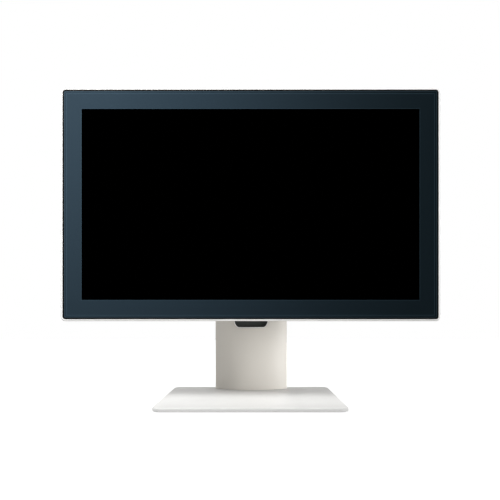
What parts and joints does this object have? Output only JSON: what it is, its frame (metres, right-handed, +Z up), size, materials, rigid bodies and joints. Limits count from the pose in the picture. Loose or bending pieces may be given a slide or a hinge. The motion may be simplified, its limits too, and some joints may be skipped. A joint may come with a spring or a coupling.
{
  "type": "all in one pc",
  "caption": "Flat display head with the computer inside and a flush dark glass front, on a height-adjustable, tilting column stand with a thin rectangular base.",
  "frame": {"origin": "on the desk under the middle of the base's rectangle, which is the middle of the whole object's footprint box", "axes": "+X along the display's width, to the right for someone facing the glass; +Y from the glass to the back; +Z up"},
  "size_m": [0.593, 0.226, 0.493],
  "materials": {
    "white_plastic": "fine satin texture",
    "cover_plastic": "fine matt texture",
    "cover_glass": "glossy, dark slate printed border",
    "black_plastic": "matt",
    "charcoal_plastic": "matt",
    "rubber": "matt",
    "steel": "bare, satin",
    "zinc_plated": "zinc plated",
    "aluminium": "milled",
    "copper": "bare copper, satin",
    "circuit_board": "solder mask",
    "ribbon": "polyimide film"
  },
  "bodies": {
    "stand": {"base_cover": "white_plastic", "base_plate": "steel", "foot_front_left": "rubber", "foot_front_right": "rubber", "foot_rear_left": "rubber", "foot_rear_right": "rubber", "mast": "steel", "slide_rail_left": "zinc_plated", "slide_rail_right": "zinc_plated", "rail_cover": "charcoal_plastic", "column_front": "white_plastic", "column_rear": "cover_plastic", "column_cap": "white_plastic", "slot_trim": "black_plastic", "spring_axle": "steel", "spring_strip": "zinc_plated"},
    "spring": {"spring_drum": "zinc_plated"},
    "carriage": {"carriage": "aluminium", "lift_arm": "steel", "arm_sleeve": "white_plastic", "hinge_pin": "steel", "hinge_nut": "zinc_plated", "friction_washer_left": "zinc_plated", "friction_washer_right": "zinc_plated"},
    "head": {"front_frame": "white_plastic", "cover_glass": "cover_glass", "glass_gasket": "black_plastic", "lcd_panel": "black_plastic", "backlight_tray": "zinc_plated", "chassis": "zinc_plated", "rear_cover": "cover_plastic", "mainboard": "circuit_board", "cpu_cold_plate": "copper", "heat_pipe": "copper", "fin_stack": "aluminium", "fan_housing": "black_plastic", "memory_module_1": "circuit_board", "memory_module_2": "circuit_board", "solid_state_drive": "circuit_board", "radio_card": "circuit_board", "speaker_left": "black_plastic", "speaker_right": "black_plastic", "power_inlet": "black_plastic", "network_jack": "zinc_plated", "usb_socket_1": "zinc_plated", "usb_socket_2": "zinc_plated", "display_socket": "zinc_plated", "display_cable": "ribbon", "hinge_plate": "steel", "hinge_cover": "white_plastic", "mounting_screw_1": "steel", "mounting_screw_2": "steel", "mounting_screw_3": "steel", "mounting_screw_4": "steel", "button_board": "circuit_board"},
    "fan": {"fan_rotor": "charcoal_plastic"},
    "power_button": {"power_button": "white_plastic"},
    "brightness_down_button": {"brightness_down_button": "white_plastic"},
    "brightness_up_button": {"brightness_up_button": "white_plastic"}
  },
  "joints": [
    {"name": "height_slide", "type": "slide", "parent": "stand", "child": "carriage", "axis": [0, 0, 1], "range_m": [-0.11, 0.03], "deforming": ["spring_strip"]},
    {"name": "spring_spin", "type": "hinge", "parent": "stand", "child": "spring", "pos_m": [0, 0.088, 0.388], "axis": [1, 0, 0], "range_deg": [-526, 144]},
    {"name": "tilt", "type": "hinge", "parent": "carriage", "child": "head", "pos_m": [0, 0.034, 0.311], "axis": [-1, 0, 0], "range_deg": [-5, 20]},
    {"name": "fan_spin", "type": "hinge", "parent": "head", "child": "fan", "pos_m": [0.125, 0, 0.321], "axis": [0, 1, 0], "continuous": true},
    {"name": "power_press", "type": "slide", "parent": "head", "child": "power_button", "axis": [-1, 0, 0], "range_m": [0, 0.0008], "stiffness_N_per_m": 900},
    {"name": "brightness_down_press", "type": "slide", "parent": "head", "child": "brightness_down_button", "axis": [-1, 0, 0], "range_m": [0, 0.0008], "stiffness_N_per_m": 900},
    {"name": "brightness_up_press", "type": "slide", "parent": "head", "child": "brightness_up_button", "axis": [-1, 0, 0], "range_m": [0, 0.0008], "stiffness_N_per_m": 900}
  ],
  "couplings": [
    {"joint": "spring_spin", "follows": "height_slide", "rad_per_m": 83.333}
  ]
}
